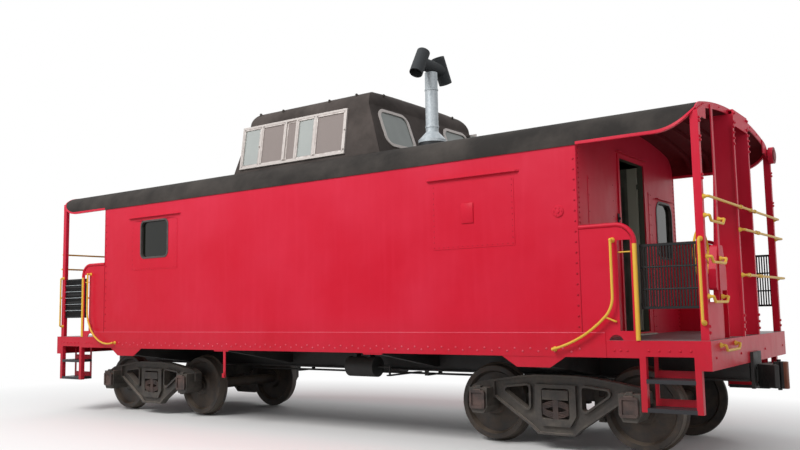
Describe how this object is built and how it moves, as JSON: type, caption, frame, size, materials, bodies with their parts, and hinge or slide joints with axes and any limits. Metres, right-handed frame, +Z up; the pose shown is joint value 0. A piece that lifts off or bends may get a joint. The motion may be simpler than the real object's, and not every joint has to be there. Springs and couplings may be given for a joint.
{
  "type": "railway caboose",
  "caption": "Steel railway caboose with a hollow red body, open end platforms, roof cupola, chimney, handrails and two swivelling four-wheel trucks.",
  "frame": {"origin": "on the ground plane at the bottom of the wheel flanges, half-way along and across the car", "axes": "+X along the car towards its front end, +Y to its left side, +Z up"},
  "size_m": [10.88, 3.1738, 4.6403],
  "materials": {
    "black_iron": "matt black heat-proof paint",
    "black_paint": "satin black",
    "cast_steel": "grimy grey-brown",
    "deck_paint": "worn dark grey deck paint",
    "door_paint": "worn grey-green paint",
    "galvanised_steel": "weathered zinc",
    "red_paint": "gloss red enamel, slightly chalked",
    "roof_paint": "matt brown-black roof cement",
    "underframe_black": "sooty black",
    "wheel_steel": "rusty brown, polished tread",
    "window_aluminium": "dull mill finish",
    "window_glass": "old window glass",
    "yellow_paint": "gloss safety yellow"
  },
  "bodies": {
    "body": {"air_brake": "underframe_black", "chimney_cowl": "black_iron", "chimney_pipe": "galvanised_steel", "coupler_front": "cast_steel", "coupler_rear": "cast_steel", "cupola": "roof_paint", "end_posts_front": "red_paint", "end_posts_rear": "red_paint", "end_wall_front": "red_paint", "end_wall_rear": "red_paint", "floor": "deck_paint", "gates_front": "black_paint", "gates_rear": "black_paint", "hand_brake_front": "red_paint", "hand_brake_rear": "red_paint", "handrails_front": "yellow_paint", "handrails_rear": "yellow_paint", "marker_lamp": "red_paint", "platform_front": "red_paint", "platform_rear": "red_paint", "roof": "roof_paint", "roof_end_front": "roof_paint", "roof_end_rear": "roof_paint", "roof_trim_front": "red_paint", "roof_trim_rear": "red_paint", "side_far": "red_paint", "side_near": "red_paint", "steps_front": "red_paint", "steps_rear": "red_paint", "underframe": "underframe_black", "waist_panels_front": "red_paint", "waist_panels_rear": "red_paint", "window_frames": "window_aluminium", "window_glass": "window_glass"},
    "truck_front": {"brake_beams_front": "cast_steel", "journal_lids_front": "cast_steel", "side_frames_front": "cast_steel", "springs_front": "cast_steel", "truck_bolster_front": "cast_steel"},
    "truck_rear": {"brake_beams_rear": "cast_steel", "journal_lids_rear": "cast_steel", "side_frames_rear": "cast_steel", "springs_rear": "cast_steel", "truck_bolster_rear": "cast_steel"},
    "axle_front_inner": {"wheelset_front_inner": "wheel_steel"},
    "axle_front_outer": {"wheelset_front_outer": "wheel_steel"},
    "axle_rear_inner": {"wheelset_rear_inner": "wheel_steel"},
    "axle_rear_outer": {"wheelset_rear_outer": "wheel_steel"},
    "door_front": {"door_front": "door_paint"},
    "door_rear": {"door_rear": "door_paint"}
  },
  "joints": [
    {"name": "truck_front_swivel", "type": "hinge", "parent": "body", "child": "truck_front", "pos_m": [3.353, 0, 0.68], "axis": [0, 0, 1], "range_deg": [-4, 4]},
    {"name": "axle_front_outer_turn", "type": "hinge", "parent": "truck_front", "child": "axle_front_outer", "pos_m": [4.2165, 0, 0.444], "axis": [0, 1, 0], "continuous": true},
    {"name": "axle_front_inner_turn", "type": "hinge", "parent": "truck_front", "child": "axle_front_inner", "pos_m": [2.4895, 0, 0.444], "axis": [0, 1, 0], "continuous": true},
    {"name": "truck_rear_swivel", "type": "hinge", "parent": "body", "child": "truck_rear", "pos_m": [-3.353, 0, 0.68], "axis": [0, 0, 1], "range_deg": [-4, 4]},
    {"name": "axle_rear_outer_turn", "type": "hinge", "parent": "truck_rear", "child": "axle_rear_outer", "pos_m": [-4.2165, 0, 0.444], "axis": [0, 1, 0], "continuous": true},
    {"name": "axle_rear_inner_turn", "type": "hinge", "parent": "truck_rear", "child": "axle_rear_inner", "pos_m": [-2.4895, 0, 0.444], "axis": [0, 1, 0], "continuous": true},
    {"name": "door_front_hinge", "type": "hinge", "parent": "body", "child": "door_front", "pos_m": [3.833, 0.368, 2.1], "axis": [0, 0, 1], "range_deg": [0, 90]},
    {"name": "door_rear_hinge", "type": "hinge", "parent": "body", "child": "door_rear", "pos_m": [-3.833, -0.368, 2.1], "axis": [0, 0, 1], "range_deg": [-90, 0]}
  ]
}
